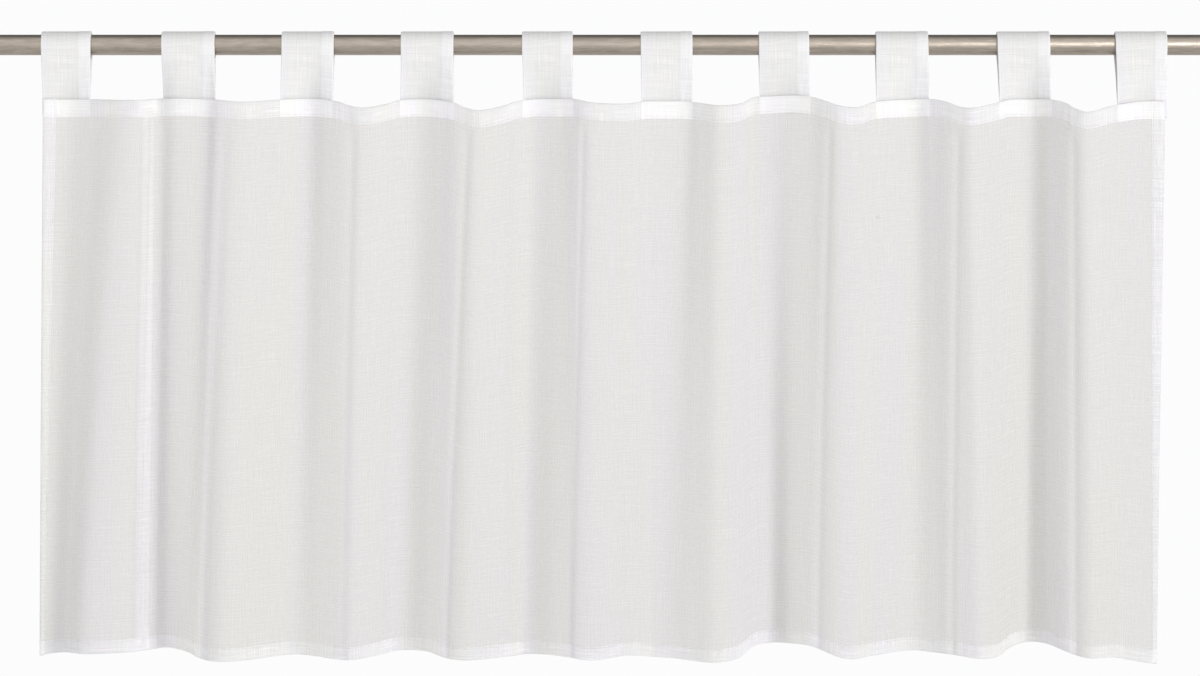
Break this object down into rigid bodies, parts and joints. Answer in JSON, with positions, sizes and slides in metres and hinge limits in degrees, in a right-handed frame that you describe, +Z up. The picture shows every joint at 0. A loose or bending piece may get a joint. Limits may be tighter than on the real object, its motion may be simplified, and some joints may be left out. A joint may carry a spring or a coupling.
{
  "type": "cafe curtain on rod",
  "caption": "Short sheer cafe curtain in a linen-look weave, hung from sewn cloth tabs on a plain brushed metal rod, with soft uneven folds and turned hems",
  "frame": {"origin": "the middle of the rod's axis", "axes": "+X along the rod to the right seen from the front, +Y away from the front of the cloth, +Z up"},
  "size_m": [1.2, 0.0417, 0.6152],
  "materials": {
    "rod_metal": "warm grey metal, brushed along its length, with fine scratches",
    "cloth": "sheer white voile with a slubby linen-look plain weave and turned hems",
    "tab_cloth": "the same voile in two and more layers, topstitched"
  },
  "bodies": {
    "root": {"rod": "rod_metal", "panel": "cloth", "tab_01": "tab_cloth", "tab_02": "tab_cloth", "tab_03": "tab_cloth", "tab_04": "tab_cloth", "tab_05": "tab_cloth", "tab_06": "tab_cloth", "tab_07": "tab_cloth", "tab_08": "tab_cloth", "tab_09": "tab_cloth", "tab_10": "tab_cloth"}
  },
  "joints": []
}
